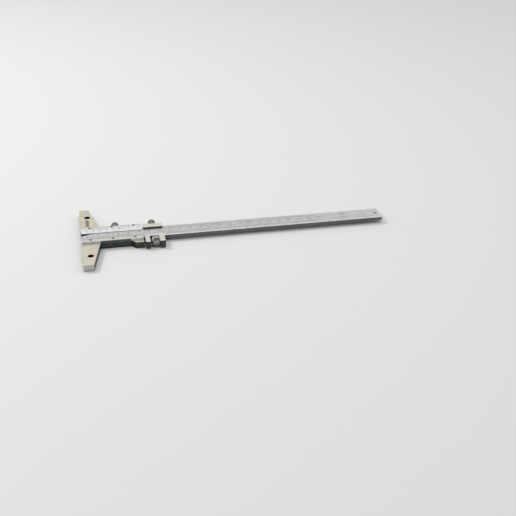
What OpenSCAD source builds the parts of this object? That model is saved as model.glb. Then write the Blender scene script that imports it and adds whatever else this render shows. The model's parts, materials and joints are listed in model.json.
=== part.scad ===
// Vernier depth gauge with a fine-adjustment carriage.
// +X runs along the beam, away from the measuring face. +Y runs along the base. +Z is up.
// The origin is on the measuring face, on the beam's centre line, level with the gauge's flat underside.

/* [Base] */
// Length of the T-shaped base, tip to tip
base_len = 120; // [100:1:150]
// Thickness of the base and of the slider body
base_t = 6.5; // [6:0.1:8]
// Width of a wing at its tip
wing_tip_w = 9.6; // [8:0.1:12]
// Width of a wing where it meets the slider
wing_root_w = 18; // [16:0.1:22]
// Distance between the two holes for an extension base
wing_hole_pitch = 84; // [70:1:90]
// Diameter of those holes
wing_hole_d = 6; // [4:0.1:7]
// Distance of those holes from the measuring face
wing_hole_x = 7.5; // [6:0.1:8]

/* [Slider] */
// Length of the slider along the beam
slider_len = 59.5; // [56:0.1:64]
// Side of the slider that carries the fine-adjustment boss, from the beam's centre line
slider_near = 16.4; // [16:0.1:18]
// Side of the slider that carries the lock screw, from the beam's centre line
slider_far = 14.8; // [14.6:0.1:16]
// Thickness of the two vernier plates
plate_t = 2; // [1.6:0.1:2.4]
// Height of a plate's thin graduated edge
plate_edge_t = 0.3; // [0.2:0.05:0.5]
// Gap between the two plates' graduated edges
plate_gap = 10.4; // [9:0.1:12]
// Half of the distance between the two lines where the plates' bevels start
bevel_start = 11.2; // [10.8:0.1:11.6]
// Distance of the lock screw from the measuring face
slider_lock_x = 34; // [34:0.5:38]

/* [Beam] */
// Length of the beam
beam_len = 300; // [290:1:320]
// Width of the beam
beam_w = 20.8; // [20.4:0.1:20.8]
// Thickness of the beam
beam_t = 3.5; // [3:0.1:3.8]
// Width that the slanted cut leaves on the beam's measuring tip
tip_w = 10.7; // [8:0.1:14]
// Length of the slanted cut
tip_cut = 22.4; // [15:0.1:25]
// Diameter of the hole at the back end
end_hole_d = 2.4; // [2:0.1:3]
// Distance of that hole from the back end
end_hole_inset = 4; // [3:0.1:8]

/* [Fine adjustment] */
// Length of the carriage along the beam
carriage_len = 19; // [18:0.1:22]
// Gap between the slider and the carriage
carriage_gap = 1.3; // [1.1:0.1:2]
// Diameter of the knurled nut
nut_d = 9.3; // [8.8:0.1:9.3]
// Length of the nut's knurled part
nut_len = 6.9; // [6:0.1:6.9]
// Nominal diameter of the threaded stud
stud_d = 2.5; // [2:0.1:2.6]
// Distance of the stud from the beam's centre line
stud_y = 19; // [18.9:0.1:19.2]

/* [Thumb screws] */
// Diameter of a thumb screw's knurled head
thumb_d = 7.5; // [6.5:0.1:8]
// Length of the knurled head
thumb_head = 6; // [5:0.1:7]
// Length of the plain neck under the head
thumb_neck = 2.8; // [2:0.1:4]

/* [Hidden] */
$fn = 64;
eps = 0.01;

steel = [0.72, 0.70, 0.65];
bright_steel = [0.80, 0.80, 0.81];
knurled_steel = [0.55, 0.53, 0.51];
dark_steel = [0.16, 0.16, 0.17];
brass = [0.75, 0.60, 0.30];
bronze = [0.66, 0.48, 0.30];

// Running gap between flat faces that slide on each other
slip = 0.05;
// Radial gap round a shank or pin that turns or is screwed in
turn = 0.05;

beam_half = beam_w / 2;
// The beam's top runs just under the plates, and its underside just over the channel's floor
beam_z = base_t - slip - beam_t;
channel_z = beam_z - slip;
channel_half = beam_half + slip;
beam_mid_z = beam_z + beam_t / 2;
beam_chamfer = 0.2;

// Gibs: thin strips between the beam's far edge and the lock screws
gib_t = 0.8;
gib_face = beam_half + 0.08;
gib_back = gib_face + gib_t;
gib_end_gap = 0.1;
slider_gib_x = [5, 55];
carriage_gib_x = [62.4, 78.2];
gib_pocket = gib_back + slip;

// Lock screws: M3 shanks
shank_r = 1.5;
pad_t = 1;
lock_bore_r = shank_r + turn;

// Plate screws: M1.6 cheese heads sunk in the plates
plate_screw_xs = [8.8, 30.2, 51.8];
plate_screw_near = -12.5;
plate_screw_far = 13;
screw_r = 0.8;
screw_head_r = 1.25;
screw_head_h = 0.9;
screw_sink = 1.2;
screw_depth = 3.5;
screw_slot_w = 0.4;
screw_slot_h = 0.35;

// Boss that holds the stud, beside the slider's back end
boss_y = 21.6;
boss_x = slider_len - 11.9;
boss_chamfer = 4.1;
stud_hole_depth = 8;
stud_pin_r = 0.6;
stud_pin_x = slider_len - 5;
stud_pin_top = 5.4;

// Plates start a little behind the measuring face, so that only the base touches the work
plate_x = 0.4;

// Carriage
carriage_x = slider_len + carriage_gap;
carriage_end = carriage_x + carriage_len;
carriage_bottom = 1;
carriage_top = 7.95;
carriage_far = 14.4;
carriage_near = 25.2;
far_lip = 6.7;
near_lip = 8.3;
carriage_lock_x = carriage_x + 9.4;
window_x = carriage_x + 4.6;
window_len = 9.2;
window_y = 13;
stud_clear_r = stud_d / 2 + 0.2;

// Nut: a plain hub on the slider's side and a knurled wheel
nut_hub_r = 2.3;
nut_end_gap = 0.1;
nut_hub_x = window_x + nut_end_gap;
nut_x = window_x + window_len - nut_end_gap - nut_len;
nut_bore_r = stud_d / 2 + slip;
nut_teeth = 40;
nut_tooth = 0.3;
nut_rim = 0.5;
rim_step = 0.08;

stud_end = carriage_end + 0.8;
thumb_teeth = 32;
thumb_tooth = 0.28;
thumb_rim = 0.6;
thumb_neck_r = 2.3;
neck_gap = 0.15;

// Runs its children, drawn in a plane with x for Y and y for Z, along X from x0 to x1
module along_x(x0, x1) {
    translate([x0, 0, 0]) rotate([90, 0, 90]) linear_extrude(x1 - x0) children();
}

// Round bar of radius r along X
module bar_x(x0, x1, y, z, r) {
    translate([x0, y, z]) rotate([0, 90, 0]) cylinder(h = x1 - x0, r = r);
}

// Round bar of radius r along Y
module bar_y(y0, y1, x, z, r) {
    translate([x, y0, z]) rotate([-90, 0, 0]) cylinder(h = y1 - y0, r = r);
}

// Box given by its two corners
module block(low, high) {
    translate(low) cube(high - low);
}

// Outline of a straight-knurled wheel: teeth of height t, the tips at radius r
function knurl_points(r, t, teeth) = [
    for (i = [0 : 2 * teeth - 1])
        let (a = 180 * i / teeth, q = i % 2 == 0 ? r : r - t)
        [q * cos(a), q * sin(a)]
];

// Knurled wheel of length h along Z, with a plain chamfered rim at each end, just below the teeth's roots
module knurled_wheel(r, t, teeth, h, rim) {
    plain = r - t - rim_step;
    cylinder(h = rim, r1 = plain - rim / 2, r2 = plain);
    translate([0, 0, rim]) linear_extrude(h - 2 * rim) polygon(knurl_points(r, t, teeth));
    translate([0, 0, h - rim]) cylinder(h = rim, r1 = plain, r2 = plain - rim / 2);
}

// Outline of the wings, the slider and the boss beside the slider's back end
module body_outline() {
    polygon([
        [0, base_len / 2], [wing_tip_w, base_len / 2],
        [wing_root_w, slider_far], [slider_len, slider_far],
        [slider_len, -boss_y], [boss_x + boss_chamfer, -boss_y],
        [boss_x, -slider_near], [wing_root_w, -slider_near],
        [wing_tip_w, -base_len / 2], [0, -base_len / 2]
    ]);
}

// Two wings, slider body and stud boss in one piece, milled for the beam and the gib
module base_body() {
    color(steel) difference() {
        linear_extrude(base_t) body_outline();
        block([-1, -channel_half, channel_z], [slider_len + 1, channel_half, base_t + 1]);
        block([slider_gib_x[0], 0, channel_z], [slider_gib_x[1], gib_pocket, base_t + 1]);
        for (s = [-1, 1])
            translate([wing_hole_x, s * wing_hole_pitch / 2, -1]) cylinder(h = base_t + 2, d = wing_hole_d);
        for (x = plate_screw_xs, y = [plate_screw_near, plate_screw_far])
            translate([x, y, base_t - screw_depth]) cylinder(h = screw_depth + 1, r = screw_r + turn);
        bar_y(gib_back, slider_far + 1, slider_lock_x, beam_mid_z, lock_bore_r);
        bar_x(slider_len - stud_hole_depth, slider_len + 1, -stud_y, beam_mid_z, stud_d / 2 + slip);
        translate([stud_pin_x, -stud_y, -1]) cylinder(h = stud_pin_top + 1, r = stud_pin_r + slip);
    }
}

// Vernier plate: flat outer strip, bevel down to a thin edge over the beam, three sunk screw holes
module vernier_plate(s, outer, screw_y) {
    edge = plate_gap / 2;
    color(bright_steel) difference() {
        along_x(plate_x, slider_len) polygon([
            [s * outer, base_t], [s * outer, base_t + plate_t], [s * bevel_start, base_t + plate_t],
            [s * edge, base_t + plate_edge_t], [s * edge, base_t]
        ]);
        for (x = plate_screw_xs) translate([x, screw_y, 0]) {
            translate([0, 0, base_t - 1]) cylinder(h = plate_t + 2, r = screw_r + 0.1);
            translate([0, 0, base_t + plate_t - screw_sink]) cylinder(h = screw_sink + 1, r = screw_head_r + 0.1);
        }
    }
}

module vernier_plate_metric() vernier_plate(-1, slider_near, plate_screw_near);

module vernier_plate_inch() vernier_plate(1, slider_far, plate_screw_far);

// Slotted cheese-head screw that holds a vernier plate down
module plate_screw(x, y, slot_angle) {
    head_z = base_t + plate_t - screw_sink;
    color(dark_steel) translate([x, y, 0]) difference() {
        union() {
            translate([0, 0, head_z]) cylinder(h = screw_head_h, r = screw_head_r);
            translate([0, 0, base_t - screw_depth + 0.2]) cylinder(h = head_z - base_t + screw_depth, r = screw_r);
        }
        translate([0, 0, head_z + screw_head_h - screw_slot_h]) rotate(slot_angle)
            translate([-2, -screw_slot_w / 2, 0]) cube([4, screw_slot_w, 1]);
    }
}

// Gib strip between the beam's far edge and the wall that the lock screw goes through
module gib(x_span, z_low) {
    color(bronze) block(
        [x_span[0] + gib_end_gap, gib_face, z_low + slip],
        [x_span[1] - gib_end_gap, gib_back, base_t - 2 * slip]
    );
}

module slider_gib() gib(slider_gib_x, channel_z);

module carriage_gib() gib(carriage_gib_x, channel_z);

// Pad between the screw's tip and the gib, so that the turning tip doesn't mark the gib
module lock_pad(x) {
    color(brass) bar_y(gib_back, gib_back + pad_t, x, beam_mid_z, shank_r - turn);
}

module slider_lock_pad() lock_pad(slider_lock_x);

module carriage_lock_pad() lock_pad(carriage_lock_x);

// Knurled thumb screw, square to the beam, whose neck stands just clear of the wall at wall_y
module thumb_screw(x, wall_y) {
    neck_y = wall_y + neck_gap;
    head_y = neck_y + thumb_neck;
    color(knurled_steel) union() {
        bar_y(gib_back + pad_t + slip, neck_y + eps, x, beam_mid_z, shank_r);
        bar_y(neck_y, head_y + eps, x, beam_mid_z, thumb_neck_r);
        translate([x, head_y, beam_mid_z]) rotate([-90, 0, 0])
            knurled_wheel(thumb_d / 2, thumb_tooth, thumb_teeth, thumb_head, thumb_rim);
    }
}

module slider_lock_screw() thumb_screw(slider_lock_x, slider_far);

module carriage_lock_screw() thumb_screw(carriage_lock_x, carriage_far);

// Threaded stud, fixed in the slider's boss and passing through both of the carriage's legs
module adjust_stud() {
    color(knurled_steel) difference() {
        union() {
            bar_x(slider_len - stud_hole_depth + 0.2, stud_end - 0.4, -stud_y, beam_mid_z, stud_d / 2);
            translate([stud_end - 0.4, -stud_y, beam_mid_z]) rotate([0, 90, 0])
                cylinder(h = 0.4, r1 = stud_d / 2, r2 = stud_d / 2 - 0.3);
        }
        translate([stud_pin_x, -stud_y, -1]) cylinder(h = stud_pin_top + 1, r = stud_pin_r + slip);
    }
}

// Pin that keeps the stud from turning in the boss
module stud_pin() {
    color(dark_steel) translate([stud_pin_x, -stud_y, 0.1]) cylinder(h = stud_pin_top - 0.2, r = stud_pin_r);
}

// Carriage: wraps the beam from below, with a lip over each edge, and a window for the nut
module carriage() {
    color(steel) difference() {
        along_x(carriage_x, carriage_end) polygon([
            [carriage_far, carriage_bottom], [carriage_far, carriage_top], [far_lip, carriage_top],
            [far_lip, base_t], [channel_half, base_t],
            [channel_half, channel_z], [-channel_half, channel_z],
            [-channel_half, base_t], [-near_lip, base_t], [-near_lip, carriage_top],
            [-carriage_near, carriage_top], [-carriage_near, carriage_bottom]
        ]);
        block([carriage_gib_x[0], 0, channel_z], [carriage_gib_x[1], gib_pocket, base_t]);
        block(
            [window_x, -carriage_near - 1, carriage_bottom - 1],
            [window_x + window_len, -window_y, carriage_top + 1]
        );
        bar_x(carriage_x - 1, carriage_end + 1, -stud_y, beam_mid_z, stud_clear_r);
        bar_y(gib_back, carriage_far + 1, carriage_lock_x, beam_mid_z, lock_bore_r);
    }
}

// Knurled nut with a small hub, held in the carriage's window
module adjust_nut() {
    color(bright_steel) difference() {
        union() {
            bar_x(nut_hub_x, nut_x + eps, -stud_y, beam_mid_z, nut_hub_r);
            translate([nut_x, -stud_y, beam_mid_z]) rotate([0, 90, 0])
                knurled_wheel(nut_d / 2, nut_tooth, nut_teeth, nut_len, nut_rim);
        }
        bar_x(nut_hub_x - 1, nut_x + nut_len + 1, -stud_y, beam_mid_z, nut_bore_r);
    }
}

// Graduated beam: long flat bar with broken edges, a slanted measuring tip and a hole at the back
module beam() {
    h = beam_half;
    c = beam_chamfer;
    color(bright_steel) difference() {
        along_x(0, beam_len) polygon([
            [-h, beam_z + c], [-h, beam_z + beam_t - c], [-h + c, beam_z + beam_t],
            [h - c, beam_z + beam_t], [h, beam_z + beam_t - c], [h, beam_z + c],
            [h - c, beam_z], [-h + c, beam_z]
        ]);
        translate([0, 0, beam_z - 1]) linear_extrude(beam_t + 2) polygon([
            [0, tip_w - h], [tip_cut, h], [tip_cut, h + 1], [-1, h + 1], [-1, tip_w - h]
        ]);
        translate([beam_len - end_hole_inset, 0, 0]) cylinder(h = base_t + 1, d = end_hole_d);
    }
}

base_body();
vernier_plate_metric();
vernier_plate_inch();
plate_screw(plate_screw_xs[0], plate_screw_near, 25);  // plate_screw_1
plate_screw(plate_screw_xs[1], plate_screw_near, 80);  // plate_screw_2
plate_screw(plate_screw_xs[2], plate_screw_near, 140);  // plate_screw_3
plate_screw(plate_screw_xs[0], plate_screw_far, 60);  // plate_screw_4
plate_screw(plate_screw_xs[1], plate_screw_far, 110);  // plate_screw_5
plate_screw(plate_screw_xs[2], plate_screw_far, 10);  // plate_screw_6
slider_gib();
slider_lock_pad();
slider_lock_screw();
adjust_stud();
stud_pin();
carriage();
carriage_gib();
carriage_lock_pad();
carriage_lock_screw();
adjust_nut();
beam();
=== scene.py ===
"""Vernier depth gauge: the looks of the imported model, in metres, in the model's own frame.

+X runs along the beam away from the measuring face, +Y along the base, +Z up.
"""
import json
import math

import bmesh
import bpy
from mathutils import Euler, Matrix, Vector


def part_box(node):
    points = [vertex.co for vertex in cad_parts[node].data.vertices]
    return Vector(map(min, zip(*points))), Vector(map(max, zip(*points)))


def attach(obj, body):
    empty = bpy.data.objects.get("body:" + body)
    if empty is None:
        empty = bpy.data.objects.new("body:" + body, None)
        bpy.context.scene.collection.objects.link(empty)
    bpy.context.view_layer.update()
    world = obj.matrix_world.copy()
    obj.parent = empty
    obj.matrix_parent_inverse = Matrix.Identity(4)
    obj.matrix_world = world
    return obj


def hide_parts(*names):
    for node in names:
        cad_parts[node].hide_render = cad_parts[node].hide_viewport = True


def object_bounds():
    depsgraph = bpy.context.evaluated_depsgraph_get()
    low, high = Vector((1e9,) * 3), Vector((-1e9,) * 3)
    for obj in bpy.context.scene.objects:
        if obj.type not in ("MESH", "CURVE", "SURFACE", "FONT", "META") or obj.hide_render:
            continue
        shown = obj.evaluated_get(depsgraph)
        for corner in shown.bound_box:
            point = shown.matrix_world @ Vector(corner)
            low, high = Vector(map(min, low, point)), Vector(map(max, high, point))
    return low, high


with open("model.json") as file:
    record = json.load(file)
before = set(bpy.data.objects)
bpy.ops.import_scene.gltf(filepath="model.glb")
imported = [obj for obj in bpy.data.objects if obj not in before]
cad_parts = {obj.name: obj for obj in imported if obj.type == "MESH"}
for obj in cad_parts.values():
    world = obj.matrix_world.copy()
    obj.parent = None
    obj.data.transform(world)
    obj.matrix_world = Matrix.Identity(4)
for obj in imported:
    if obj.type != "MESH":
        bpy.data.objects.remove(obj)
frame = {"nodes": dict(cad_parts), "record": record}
cad_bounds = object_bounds()

MM = 0.001
WING_ROOT_X = 18.0 * MM     # where the wings' slanted edges meet the slider
BOSS_X = 47.6 * MM          # where the stud's boss starts
HUB_END_X = 67.4 * MM       # just before the nut's plain hub meets its knurled wheel
BEVEL_Y = 11.2 * MM         # where the plates' bevels start
EDGE_Y = 5.2 * MM           # where their graduated edges lie

# ---------------------------------------------------------------- camera, stage and lights

CAMERA_PLACE = (0.0023, -0.9142, 0.4580)
CAMERA_TURN = math.radians(10.68)   # to the right of +Y
CAMERA_TILT = math.radians(27.86)   # below the horizon
CAMERA_LENS = 72.24                 # in millimetres, as is the sensor
CAMERA_SENSOR = 36.0
WORLD_HORIZON = (0.45, 0.45, 0.46)
WORLD_MIDDLE = (0.72, 0.715, 0.70)
WORLD_MIDDLE_Z = 0.47               # height of the middle colour: 0 at the horizon, 1 overhead
WORLD_CEILING = (0.88, 0.89, 0.92)
WORLD_CEILING_Z = 0.87
WORLD_FRONT = 0.70                  # strength of the surround in front of the gauge; 1 behind it
WORLD_FRONT_Y = (-0.6, 0.3)         # the directions between which that strength changes
FLOOR_REACH = 30.0
FLOOR_TONE = (0.70, 0.70, 0.69)
FLOOR_ROUGH = 0.55
LIGHT_TARGET = (0.12, 0.0, 0.0)


def add_camera():
    data = bpy.data.cameras.new("camera")
    data.lens = CAMERA_LENS
    data.sensor_width = CAMERA_SENSOR
    data.clip_start = 0.01
    camera = bpy.data.objects.new("camera", data)
    camera.location = CAMERA_PLACE
    camera.rotation_euler = Euler((math.pi / 2 - CAMERA_TILT, 0.0, -CAMERA_TURN))
    bpy.context.scene.collection.objects.link(camera)
    bpy.context.scene.camera = camera


def add_area_light(name, place, size, power, colour=(1.0, 1.0, 1.0)):
    data = bpy.data.lights.new(name, "AREA")
    data.shape = "RECTANGLE"
    data.size, data.size_y = size
    data.energy = power
    data.color = colour
    light = bpy.data.objects.new(name, data)
    light.location = place
    look = Vector(LIGHT_TARGET) - Vector(place)
    light.rotation_euler = look.to_track_quat("-Z", "Y").to_euler()
    bpy.context.scene.collection.objects.link(light)


def add_world():
    """Soft studio surround: brighter towards the ceiling and behind the gauge, dim in front of it."""
    world = bpy.data.worlds.new("studio")
    bpy.context.scene.world = world
    world.use_nodes = True
    tree = world.node_tree
    tree.nodes.clear()
    coord = tree.nodes.new("ShaderNodeTexCoord")
    split = tree.nodes.new("ShaderNodeSeparateXYZ")
    tree.links.new(coord.outputs["Generated"], split.inputs[0])
    ramp = tree.nodes.new("ShaderNodeValToRGB")
    ramp.color_ramp.elements[0].position = 0.0
    ramp.color_ramp.elements[0].color = (*WORLD_HORIZON, 1.0)
    ramp.color_ramp.elements[1].position = WORLD_CEILING_Z
    ramp.color_ramp.elements[1].color = (*WORLD_CEILING, 1.0)
    middle = ramp.color_ramp.elements.new(WORLD_MIDDLE_Z)
    middle.color = (*WORLD_MIDDLE, 1.0)
    tree.links.new(split.outputs["Z"], ramp.inputs["Fac"])
    background = tree.nodes.new("ShaderNodeBackground")
    output = tree.nodes.new("ShaderNodeOutputWorld")
    strength = remap(tree, split.outputs["Y"], *WORLD_FRONT_Y, WORLD_FRONT, 1.0)
    tree.links.new(ramp.outputs["Color"], background.inputs["Color"])
    tree.links.new(strength, background.inputs["Strength"])
    tree.links.new(background.outputs[0], output.inputs["Surface"])


def add_floor():
    low, high = cad_bounds
    centre = (Vector(low) + Vector(high)) / 2
    mesh = bpy.data.meshes.new("floor")
    corners = [(centre.x + FLOOR_REACH * a, centre.y + FLOOR_REACH * b, low[2])
               for a, b in ((-1, -1), (1, -1), (1, 1), (-1, 1))]
    mesh.from_pydata(corners, [], [(0, 1, 2, 3)])
    floor = bpy.data.objects.new("floor", mesh)
    bpy.context.scene.collection.objects.link(floor)
    material, tree, shader = new_material("floor")
    shader.inputs["Base Color"].default_value = (*FLOOR_TONE, 1.0)
    shader.inputs["Roughness"].default_value = FLOOR_ROUGH
    mesh.materials.append(material)


# ---------------------------------------------------------------- shader nodes

def new_material(name):
    material = bpy.data.materials.new(name)
    material.use_nodes = True
    tree = material.node_tree
    tree.nodes.clear()
    output = tree.nodes.new("ShaderNodeOutputMaterial")
    shader = tree.nodes.new("ShaderNodeBsdfPrincipled")
    tree.links.new(shader.outputs["BSDF"], output.inputs["Surface"])
    return material, tree, shader


def noise(tree, stretch, scale, detail, rough=0.6):
    """Noise in the piece's own space. A small stretch draws the grain out along its axis."""
    coord = tree.nodes.new("ShaderNodeTexCoord")
    mapping = tree.nodes.new("ShaderNodeMapping")
    mapping.inputs["Scale"].default_value = stretch
    texture = tree.nodes.new("ShaderNodeTexNoise")
    texture.inputs["Scale"].default_value = scale
    texture.inputs["Detail"].default_value = detail
    texture.inputs["Roughness"].default_value = rough
    tree.links.new(coord.outputs["Object"], mapping.inputs["Vector"])
    tree.links.new(mapping.outputs["Vector"], texture.inputs["Vector"])
    return texture.outputs["Fac"]


def remap(tree, value, low, high, to_low, to_high):
    """Takes values between low and high to values between to_low and to_high, and no further."""
    node = tree.nodes.new("ShaderNodeMapRange")
    node.inputs["From Min"].default_value = low
    node.inputs["From Max"].default_value = high
    node.inputs["To Min"].default_value = to_low
    node.inputs["To Max"].default_value = to_high
    tree.links.new(value, node.inputs["Value"])
    return node.outputs["Result"]


def mix_colour(tree, factor, first, second):
    """Mixes two colours. Either one is a colour or another node's output."""
    node = tree.nodes.new("ShaderNodeMix")
    node.data_type = "RGBA"
    tree.links.new(factor, node.inputs["Factor"])
    for socket, colour in ((node.inputs["A"], first), (node.inputs["B"], second)):
        if isinstance(colour, tuple):
            socket.default_value = (*colour, 1.0)
        else:
            tree.links.new(colour, socket)
    return node.outputs["Result"]


def shade(tree, colour, factor):
    """Multiplies a colour by a factor."""
    node = tree.nodes.new("ShaderNodeVectorMath")
    node.operation = "SCALE"
    tree.links.new(colour, node.inputs[0])
    tree.links.new(factor, node.inputs["Scale"])
    return node.outputs[0]


def math_node(tree, operation, first, second=0.0):
    """Arithmetic on two values. Either one is a number or another node's output."""
    node = tree.nodes.new("ShaderNodeMath")
    node.operation = operation
    for socket, value in ((node.inputs[0], first), (node.inputs[1], second)):
        if isinstance(value, (int, float)):
            socket.default_value = value
        else:
            tree.links.new(value, socket)
    return node.outputs[0]


def place_axis(tree, output, axis):
    """One axis of a texture coordinate."""
    coord = tree.nodes.new("ShaderNodeTexCoord")
    split = tree.nodes.new("ShaderNodeSeparateXYZ")
    tree.links.new(coord.outputs[output], split.inputs[0])
    return split.outputs[axis]


def side_mask(tree):
    """1 on a piece's upright sides, 0 on what faces up or down, in the piece's own space. It marks where
    the side colours, which are painted reflection and shade, go.
    """
    flatness = math_node(tree, "ABSOLUTE", place_axis(tree, "Normal", "Z"))
    return remap(tree, flatness, 0.75, 0.25, 0.0, 1.0)


def beyond(tree, axis, limit, fade=0.1 * MM):
    """1 where a piece is further than limit from the origin along an axis, either way, and 0 nearer."""
    distance = math_node(tree, "ABSOLUTE", place_axis(tree, "Object", axis))
    return remap(tree, distance, limit - fade, limit, 0.0, 1.0)


def edge_mask(tree, radius):
    """1 along a piece's sharp edges, fading to 0 at radius from them."""
    bevel = tree.nodes.new("ShaderNodeBevel")
    bevel.samples = 6
    bevel.inputs["Radius"].default_value = radius
    geometry = tree.nodes.new("ShaderNodeNewGeometry")
    dot = tree.nodes.new("ShaderNodeVectorMath")
    dot.operation = "DOT_PRODUCT"
    tree.links.new(bevel.outputs["Normal"], dot.inputs[0])
    tree.links.new(geometry.outputs["Normal"], dot.inputs[1])
    return remap(tree, dot.outputs["Value"], 0.995, 0.90, 0.0, 1.0)


def grime_mask(tree, reach, low, high):
    """Painted shade: 1 deep in holes, slots and corners, where shade falls, 0 on open faces."""
    hollow = tree.nodes.new("ShaderNodeAmbientOcclusion")
    hollow.samples = 8
    hollow.inputs["Distance"].default_value = reach
    return remap(tree, hollow.outputs["AO"], low, high, 1.0, 0.0)


# ---------------------------------------------------------------- materials

EVEN = (1.0, 1.0, 1.0)      # directions of the grain
ALONG_X = (0.06, 1.0, 1.0)
ALONG_Y = (1.0, 0.06, 1.0)
ROUND_X = (1.0, 0.25, 0.25)
ROUND_Y = (0.25, 1.0, 0.25)

CLOUD_SCALE = 120.0         # cells per metre of the broad mottling
SPECK_SCALE = 1600.0        # cells per metre of the fine speckle
WEAR_REACH = 0.2 * MM       # how far from a sharp edge the steel is rubbed bright
SIDE_WEAR = 0.25            # share of that rubbing which shows on a piece's upright sides
HOLLOW_SHADE_REACH = 5.0 * MM      # size of the hollows that get painted shade
HOLLOW_SHADE_TONE = (0.012, 0.012, 0.012)

SATIN = (0.80, 0.745, 0.615)
SATIN_CARRIAGE = (0.84, 0.81, 0.75)
SATIN_PLATE = (0.83, 0.80, 0.74)
GROUND_BEVEL = (0.80, 0.80, 0.81)
BEAM_TOP = (0.74, 0.745, 0.74)
BEAM_RIM = (0.85, 0.85, 0.84)
# The side colours below are painted reflection and shade: upright faces are darker where they reflect dark
# surroundings or lie in shade, and lighter where they reflect bright faces nearby, as on the near plate's
# side over the wing and the wings' end faces.
SHADED_SIDE_TONE = (0.060, 0.068, 0.064)
SHADED_PLATE_SIDE = (0.10, 0.11, 0.105)
REFLECTED_PLATE_SIDE = (0.74, 0.79, 0.87)
SHADED_BEAM_SIDE = (0.14, 0.145, 0.14)
REFLECTED_WING_END = (0.52, 0.52, 0.52)


def ground_steel(name, colour, side, rough, grain, grain_scale, grain_depth, patches=()):
    """Satin or ground steel: grain along one axis, mottling, painted reflection and shade on the upright
    sides, painted shade in corners, bright edges.

    Each patch is ("top" or "side", mask, colour): a colour that part of the piece has instead, either a
    different finish or painted reflection and shade.
    """
    material, tree, shader = new_material(name)
    clouds = noise(tree, EVEN, CLOUD_SCALE, 3.0)
    specks = noise(tree, EVEN, SPECK_SCALE, 2.0)
    streaks = noise(tree, grain, grain_scale, 3.0, 0.7)
    faces = {"top": colour, "side": side}
    for face, mask, patch in patches:
        faces[face] = mix_colour(tree, mask(tree), faces[face], patch)
    # Painted reflection and shade: upright sides take their own darker or lighter colour in place of the
    # top's.
    tone = mix_colour(tree, side_mask(tree), faces["top"], faces["side"])
    cloudy = shade(tree, tone, remap(tree, clouds, 0.35, 0.65, 0.92, 1.05))
    speckled = shade(tree, cloudy, remap(tree, specks, 0.35, 0.65, 0.93, 1.06))
    streaked = shade(tree, speckled, remap(tree, streaks, 0.35, 0.70, 1.05, 0.88))
    rubbed = math_node(tree, "MULTIPLY", edge_mask(tree, WEAR_REACH),
                       remap(tree, side_mask(tree), 0.0, 1.0, 1.0, SIDE_WEAR))
    worn = mix_colour(tree, rubbed, streaked, tuple(min(0.9, c * 1.08) for c in colour))
    # Painted shade: the colour goes to near black deep in hollows and corners.
    shaded_in_hollows = mix_colour(tree, grime_mask(tree, HOLLOW_SHADE_REACH, 0.10, 0.38), worn, HOLLOW_SHADE_TONE)
    tree.links.new(shaded_in_hollows, shader.inputs["Base Color"])
    shader.inputs["Metallic"].default_value = 1.0
    spread = remap(tree, streaks, 0.3, 0.7, rough - 0.05, rough + 0.07)
    blotch = remap(tree, specks, 0.3, 0.7, -0.04, 0.04)
    tree.links.new(math_node(tree, "ADD", spread, blotch), shader.inputs["Roughness"])
    relief = math_node(tree, "ADD", streaks, math_node(tree, "MULTIPLY", specks, 0.4))
    bump = tree.nodes.new("ShaderNodeBump")
    bump.inputs["Strength"].default_value = 0.5
    bump.inputs["Distance"].default_value = grain_depth
    tree.links.new(relief, bump.inputs["Height"])
    tree.links.new(bump.outputs["Normal"], shader.inputs["Normal"])
    return material


def worn_dark(name, colour, worn, rough):
    """Blackened or painted metal, rubbed bright along its edges."""
    material, tree, shader = new_material(name)
    grime = noise(tree, EVEN, 900.0, 4.0)
    base = mix_colour(tree, remap(tree, grime, 0.3, 0.7, 0.0, 1.0), colour, tuple(c * 1.8 for c in colour))
    tint = mix_colour(tree, edge_mask(tree, 0.08 * MM), base, worn)
    tree.links.new(tint, shader.inputs["Base Color"])
    shader.inputs["Specular IOR Level"].default_value = 0.25
    tree.links.new(remap(tree, grime, 0.3, 0.7, rough - 0.08, rough + 0.1), shader.inputs["Roughness"])
    return material


def etched_paint(name, colour):
    """Dark filling of an etched line: dull, a little uneven."""
    material, tree, shader = new_material(name)
    grime = noise(tree, EVEN, 1500.0, 3.0)
    tint = mix_colour(tree, remap(tree, grime, 0.3, 0.7, 0.0, 1.0), colour,
                      tuple(min(1.0, c * 1.7 + 0.01) for c in colour))
    tree.links.new(tint, shader.inputs["Base Color"])
    tree.links.new(remap(tree, grime, 0.3, 0.7, 0.55, 0.75), shader.inputs["Roughness"])
    return material


def flush_side(tree):
    """1 along the stretch of the near plate's side that is flush with the slider's side, where the side
    gets a painted dark reflection.
    """
    fade = 0.3 * MM
    x = place_axis(tree, "Object", "X")
    after_wing = remap(tree, x, WING_ROOT_X - fade, WING_ROOT_X + fade, 0.0, 1.0)
    before_boss = remap(tree, x, BOSS_X - fade, BOSS_X + fade, 1.0, 0.0)
    return math_node(tree, "MULTIPLY", after_wing, before_boss)


def nut_hub(tree):
    """1 on the nut's plain hub, which is the part nearest the slider. The hub is given the dark side colour
    as painted shade.
    """
    return remap(tree, place_axis(tree, "Object", "X"), HUB_END_X - 0.1 * MM, HUB_END_X, 1.0, 0.0)


def plate_steel(name, side, side_patches=()):
    """Ground bevel, satin flat and sides of a vernier plate, the sides in painted reflection and shade."""
    flat = ("top", lambda tree: beyond(tree, "Y", BEVEL_Y), SATIN_PLATE)
    return ground_steel(name, GROUND_BEVEL, side, rough=0.30, grain=ALONG_X, grain_scale=1100.0,
                        grain_depth=0.010 * MM, patches=[flat, *side_patches])


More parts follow.
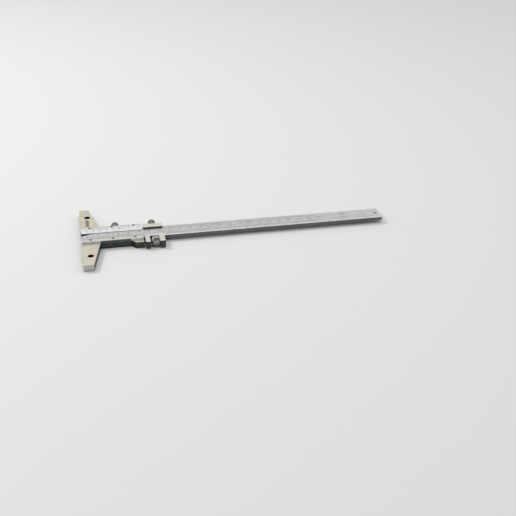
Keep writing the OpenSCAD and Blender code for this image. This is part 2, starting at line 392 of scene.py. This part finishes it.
def make_materials():
    """A material for each of the record's slots, and for nodes that need their own tone of it."""
    wing_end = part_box("base_body")[1].y - 0.1 * MM
    beam_rim = 8.4 * MM
    # In each material below, the second colour is for upright sides and is painted reflection and shade.
    return {
        # Painted reflection: the wings' end faces are lighter than the slider's other upright sides.
        "body_steel": ground_steel(
            "satin_body", SATIN, SHADED_SIDE_TONE, rough=0.34, grain=ALONG_Y, grain_scale=900.0,
            grain_depth=0.012 * MM, patches=[("side", lambda tree: beyond(tree, "Y", wing_end), REFLECTED_WING_END)]),
        "carriage": ground_steel(
            "satin_carriage", SATIN_CARRIAGE, SHADED_SIDE_TONE, rough=0.34, grain=ALONG_X, grain_scale=900.0,
            grain_depth=0.012 * MM),
        # Painted reflection and shade: the far plate's sides are dark; the near plate's side is light where
        # it reflects the wing and dark where it is flush with the slider.
        "plate_steel": plate_steel("satin_far_plate", SHADED_PLATE_SIDE),
        "vernier_plate_metric": plate_steel(
            "satin_near_plate", REFLECTED_PLATE_SIDE, side_patches=[("side", flush_side, SHADED_PLATE_SIDE)]),
        "beam_steel": ground_steel(
            "satin_beam", BEAM_TOP, SHADED_BEAM_SIDE, rough=0.28, grain=ALONG_X, grain_scale=1200.0,
            grain_depth=0.010 * MM, patches=[("top", lambda tree: beyond(tree, "Y", beam_rim), BEAM_RIM)]),
        "knurled_steel": ground_steel(
            "knurled", (0.26, 0.232, 0.22), (0.175, 0.156, 0.148), rough=0.32, grain=ROUND_Y,
            grain_scale=700.0, grain_depth=0.015 * MM),
        # Painted shade: the nut's plain hub takes the dark side colour on its top and sides.
        "adjust_nut": ground_steel(
            "knurled_nut", (0.42, 0.415, 0.405), (0.17, 0.167, 0.163), rough=0.40, grain=ROUND_X,
            grain_scale=700.0, grain_depth=0.015 * MM,
            patches=[("top", nut_hub, SHADED_SIDE_TONE), ("side", nut_hub, SHADED_SIDE_TONE)]),
        "stud_steel": ground_steel(
            "turned_stud", (0.30, 0.295, 0.29), (0.20, 0.195, 0.19), rough=0.34, grain=ROUND_X,
            grain_scale=900.0, grain_depth=0.010 * MM),
        "blackened_steel": worn_dark("blackened", (0.008, 0.008, 0.009), (0.05, 0.05, 0.05), rough=0.5),
        "bronze": ground_steel(
            "bronze_strip", (0.62, 0.42, 0.24), (0.50, 0.34, 0.19), rough=0.34, grain=ALONG_X,
            grain_scale=900.0, grain_depth=0.010 * MM),
        "brass": ground_steel(
            "brass_pad", (0.72, 0.55, 0.26), (0.60, 0.45, 0.20), rough=0.32, grain=ROUND_Y,
            grain_scale=900.0, grain_depth=0.010 * MM),
        "etch": etched_paint("etched_black", (0.035, 0.035, 0.038)),
        "etch_grey": etched_paint("etched_grey", (0.050, 0.048, 0.045)),
    }


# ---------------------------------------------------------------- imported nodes

SMALL_EDGE_BREAK = 0.04     # how far sharp edges are broken, in millimetres
EDGE_BREAK = {
    "beam": 0.10, "base_body": 0.14, "carriage": 0.14,
    "vernier_plate_metric": 0.10, "vernier_plate_inch": 0.10,
    "adjust_nut": 0.05, "slider_lock_screw": 0.05, "carriage_lock_screw": 0.05,
}
SAME_POINT = 0.001 * MM
FLAT_ANGLE = math.radians(1.0)      # faces that meet at less than this are one flat face
SHARP_ANGLE = math.radians(25.0)    # edges sharper than this are broken


def soften(node, width):
    """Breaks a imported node's sharp edges without touching the shape of its own mesh."""
    if "custom_normal" in node.data.attributes:
        node.data.attributes.remove(node.data.attributes["custom_normal"])
    node.data.polygons.foreach_set("use_smooth", [True] * len(node.data.polygons))
    weld = node.modifiers.new("weld", "WELD")
    weld.merge_threshold = SAME_POINT
    merge = node.modifiers.new("flat_faces", "DECIMATE")
    merge.decimate_type = "DISSOLVE"
    merge.angle_limit = FLAT_ANGLE
    bevel = node.modifiers.new("edge_break", "BEVEL")
    bevel.width = width
    bevel.segments = 2
    bevel.limit_method = "ANGLE"
    bevel.angle_limit = SHARP_ANGLE
    bevel.harden_normals = True


def finish_cad_nodes(materials):
    """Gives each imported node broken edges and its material, by the record's slots."""
    slots = {part["node"]: part["material_slot"] for part in frame["record"]["subparts"]}
    for name, node in frame["nodes"].items():
        node.data.materials.clear()
        node.data.materials.append(materials.get(name) or materials[slots[name]])
        soften(node, EDGE_BREAK.get(name, SMALL_EDGE_BREAK) * MM)


# ---------------------------------------------------------------- graduations

ETCH_SINK = 0.02 * MM       # how deep a mark's own solid goes into the steel
ETCH_RISE = 0.006 * MM      # how far its filling stands proud
METRIC_LINE_W = 0.13 * MM
INCH_LINE_W = 0.10 * MM
FIGURE_FILL = 0.70          # height of a figure over its font's size

ZERO_X = 6.0 * MM           # both scales' zero, from the measuring face
INCH = 25.4 * MM
METRIC_COUNT = 230          # millimetres marked on the beam
METRIC_ROOT = -8.2 * MM     # where the beam's metric lines start, across it
METRIC_ENDS = (-0.7 * MM, -1.9 * MM, -3.0 * MM)
METRIC_FIGURES = 0.9 * MM   # centre of the figures, across the beam
METRIC_FIGURE_H = 2.1 * MM
INCH_ROOT = 8.4 * MM
INCH_ENDS = (3.9 * MM, 4.4 * MM, 4.8 * MM)
INCH_FIGURES = 3.1 * MM
INCH_FIGURE_H = 1.5 * MM
TENTH_FIGURE_H = 1.0 * MM
READING_X = 262.0 * MM      # the smallest readings, marked beyond both scales
READING_H = 2.2 * MM
VERNIER_LONG = 2.9 * MM     # the plates' lines, from their graduated edges
VERNIER_SHORT = 1.9 * MM
VERNIER_FIGURES = 4.1 * MM
VERNIER_FIGURE_H = 1.6 * MM

BEAM_TOP_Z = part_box("beam")[1].z
PLATE_LOW, PLATE_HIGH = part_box("vernier_plate_metric")
EDGE_Z = PLATE_LOW.z + 0.3 * MM     # top of the plates' graduated edges


class Marks:
    """A flat face that marks are laid on: u runs along the beam, v across it, both in metres."""

    def __init__(self, origin, across):
        u = Vector((1.0, 0.0, 0.0))
        v = Vector(across).normalized()
        n = u.cross(v)
        self.place = Matrix.Translation(origin) @ Matrix((u, v, n)).transposed().to_4x4()
        self.vertices = []
        self.faces = []

    def bar(self, u0, u1, v0, v1):
        """A flat rectangular mark."""
        first = len(self.vertices)
        for h in (-ETCH_SINK, ETCH_RISE):
            for u, v in ((u0, v0), (u1, v0), (u1, v1), (u0, v1)):
                self.vertices.append(self.place @ Vector((u, v, h)))
        for face in ((3, 2, 1, 0), (4, 5, 6, 7), (0, 1, 5, 4), (1, 2, 6, 5), (2, 3, 7, 6), (3, 0, 4, 7)):
            self.faces.append([first + i for i in face])

    def line(self, u, v0, v1, width):
        """A graduation across the beam."""
        self.bar(u - width / 2, u + width / 2, min(v0, v1), max(v0, v1))

    def figure(self, text, u, v, height):
        """Figures centred on (u, v), upright towards +v."""
        curve = bpy.data.curves.new("figure", "FONT")
        curve.body = text
        curve.size = height / FIGURE_FILL
        curve.align_x = "CENTER"
        curve.align_y = "CENTER"
        curve.resolution_u = 3
        curve.extrude = (ETCH_SINK + ETCH_RISE) / 2
        holder = bpy.data.objects.new("figure", curve)
        bpy.context.scene.collection.objects.link(holder)
        bpy.context.view_layer.update()
        shape = bpy.data.meshes.new_from_object(holder.evaluated_get(bpy.context.evaluated_depsgraph_get()))
        lift = (ETCH_RISE - ETCH_SINK) / 2
        first = len(self.vertices)
        for vertex in shape.vertices:
            self.vertices.append(self.place @ (Vector((u, v, lift)) + vertex.co))
        for polygon in shape.polygons:
            self.faces.append([first + i for i in polygon.vertices])
        bpy.data.objects.remove(holder)
        bpy.data.curves.remove(curve)
        bpy.data.meshes.remove(shape)

    def piece(self, name, material, body, slot):
        """Makes the marks into one piece that rides on a body."""
        mesh = bpy.data.meshes.new(name)
        mesh.from_pydata(self.vertices, [], self.faces)
        add_piece(name, mesh, material, body)


def add_piece(name, mesh, material, body):
    mesh.materials.append(material)
    piece = bpy.data.objects.new(name, mesh)
    bpy.context.scene.collection.objects.link(piece)
    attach(piece, body)
    return piece


def by_place(count, long_every, middle_every, ends):
    """Where a graduation ends, by its number: the first end is a long line's, then middle, then short."""
    long, middle, short = ends
    if count % long_every == 0:
        return long
    return middle if count % middle_every == 0 else short


def add_beam_scales(materials):
    top = (0.0, 0.0, BEAM_TOP_Z)
    metric = Marks(top, (0.0, 1.0, 0.0))
    for i in range(METRIC_COUNT + 1):
        metric.line(ZERO_X + i * MM, METRIC_ROOT, by_place(i, 10, 5, METRIC_ENDS), METRIC_LINE_W)
    for i in range(0, METRIC_COUNT + 1, 10):
        metric.figure(str(i), ZERO_X + i * MM, METRIC_FIGURES, METRIC_FIGURE_H)
    metric.figure("0.02", READING_X, -2.6 * MM, READING_H)
    metric.piece("beam_metric_scale", materials["etch"], "beam", "beam_steel")
    inch = Marks(top, (0.0, 1.0, 0.0))
    step = INCH / 40
    count = int(METRIC_COUNT * MM / step)
    for i in range(count + 1):
        inch.line(ZERO_X + i * step, by_place(i, 4, 2, INCH_ENDS), INCH_ROOT, INCH_LINE_W)
    for i in range(0, count + 1, 4):
        whole, tenth = divmod(i // 4, 10)
        if tenth == 0:
            inch.figure(str(whole), ZERO_X + i * step, INCH_FIGURES, INCH_FIGURE_H)
        else:
            inch.figure(str(tenth), ZERO_X + i * step, INCH_FIGURES, TENTH_FIGURE_H)
    inch.figure("0.001", READING_X, 4.2 * MM, READING_H)
    inch.piece("beam_inch_scale", materials["etch"], "beam", "beam_steel")


def bevel_marks(side):
    """The bevel of one vernier plate: side is -1 for the metric plate, 1 for the inch plate."""
    rise = PLATE_HIGH.z - EDGE_Z
    run = BEVEL_Y - EDGE_Y
    return Marks((0.0, side * EDGE_Y, EDGE_Z), (0.0, run, side * rise))


def add_vernier_scale(name, material, side, count, step, line_w, labels):
    """One plate's scale, with a long line every fifth. labels gives the figure for a line's number."""
    scale = bevel_marks(side)
    for i in range(count + 1):
        reach = VERNIER_SHORT if i % 5 else VERNIER_LONG
        scale.line(ZERO_X + i * step, 0.0, side * reach, line_w)
    for i in range(0, count + 1, 5):
        scale.figure(labels(i), ZERO_X + i * step, side * VERNIER_FIGURES, VERNIER_FIGURE_H)
    scale.piece(name, material, "slider", "plate_steel")


def add_vernier_scales(materials):
    """The metric vernier has 50 divisions in 49 mm, and the inch vernier 25 in 1.225 inches."""
    add_vernier_scale("plate_metric_scale", materials["etch"], -1, 50, 49.0 * MM / 50, METRIC_LINE_W,
                      lambda i: str(i // 5 % 10))
    add_vernier_scale("plate_inch_scale", materials["etch"], 1, 25, 1.225 * INCH / 25, INCH_LINE_W, str)


PANEL_X = (5.4 * MM, 9.0 * MM)
PANEL_Y = (20.8 * MM, 36.0 * MM)
PANEL_FRAME_W = 0.25 * MM
PANEL_ROWS = 28
HATCH_FILL = 0.7            # width of a hatch line over the lines' pitch


def add_wing_panel(materials):
    """Blank etched panel on the far wing, where an owner's mark goes: a frame round fine hatching."""
    panel = Marks((0.0, 0.0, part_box("base_body")[1].z), (0.0, 1.0, 0.0))
    x0, x1 = PANEL_X
    y0, y1 = PANEL_Y
    w = PANEL_FRAME_W
    panel.bar(x0, x1, y0, y0 + w)
    panel.bar(x0, x1, y1 - w, y1)
    panel.bar(x0, x0 + w, y0 + w, y1 - w)
    panel.bar(x1 - w, x1, y0 + w, y1 - w)
    pitch = (y1 - y0) / PANEL_ROWS
    half = HATCH_FILL / 2 * pitch
    for i in range(1, PANEL_ROWS):
        y = y0 + i * pitch
        panel.bar(x0 + 2 * w, x1 - 2 * w, y - half, y + half)
    panel.piece("wing_blank_panel", materials["etch_grey"], "slider", "body_steel")


# ---------------------------------------------------------------- threaded stud

THREAD_PITCH = 0.45 * MM
THREAD_R = 1.25 * MM
THREAD_ROOT_R = 1.0 * MM
THREAD_SIDES = 20
PLAIN_ROWS = 6              # rows of the thread's mesh that are turned down at each end
TIP_INSET = 0.2 * THREAD_PITCH


def add_stud(materials):
    """Threaded stud: crest and root run as two helices, closed by a fan at each end."""
    low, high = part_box("adjust_stud")
    axis_y, axis_z = (low.y + high.y) / 2, (low.z + high.z) / 2
    length = high.x - low.x - 2 * THREAD_PITCH
    rows = 2 * int(length / THREAD_PITCH)
    vertices = []
    index = {}
    for i in range(rows + 3):
        for j in range(THREAD_SIDES if i <= rows else 1):
            angle = 2 * math.pi * j / THREAD_SIDES
            near_end = min(i, rows + 2 - i) < PLAIN_ROWS
            r = THREAD_ROOT_R if near_end or i % 2 else THREAD_R
            x = low.x + THREAD_PITCH * (0.5 + i / 2 + j / THREAD_SIDES)
            index[i, j] = len(vertices)
            vertices.append((x, axis_y - r * math.sin(angle), axis_z + r * math.cos(angle)))
    for i in range(rows + 1):
        index[i, THREAD_SIDES] = index[i + 2, 0]
    faces = [(index[i, j], index[i, j + 1], index[i + 1, j + 1], index[i + 1, j])
             for i in range(rows) for j in range(THREAD_SIDES)]
    start = [index[0, j] for j in range(THREAD_SIDES)] + [index[2, 0], index[1, 0]]
    end = [index[rows, j] for j in range(THREAD_SIDES)] + [index[rows + 2, 0], index[rows + 1, 0]]
    for loop, x in ((start, low.x + TIP_INSET), (end, high.x - TIP_INSET)):
        centre = len(vertices)
        vertices.append((x, axis_y, axis_z))
        faces += [(centre, loop[k], loop[(k + 1) % len(loop)]) for k in range(len(loop))]
    mesh = bpy.data.meshes.new("threaded_stud")
    mesh.from_pydata(vertices, [], faces)
    shape = bmesh.new()
    shape.from_mesh(mesh)
    bmesh.ops.recalc_face_normals(shape, faces=shape.faces)
    shape.to_mesh(mesh)
    shape.free()
    piece = add_piece("threaded_stud", mesh, materials["stud_steel"], "slider")
    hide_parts("adjust_stud")


# ---------------------------------------------------------------- the scene

add_camera()
add_world()
add_floor()
add_area_light("overhead", place=(0.12, 0.12, 1.45), size=(0.6, 0.5), power=4.5)
add_area_light("key", place=(-0.75, 0.73, 1.13), size=(0.30, 0.30), power=9.0, colour=(1.0, 0.99, 0.97))

materials = make_materials()
finish_cad_nodes(materials)
add_beam_scales(materials)
add_vernier_scales(materials)
add_wing_panel(materials)
add_stud(materials)

bpy.context.scene.view_settings.view_transform = "Standard"
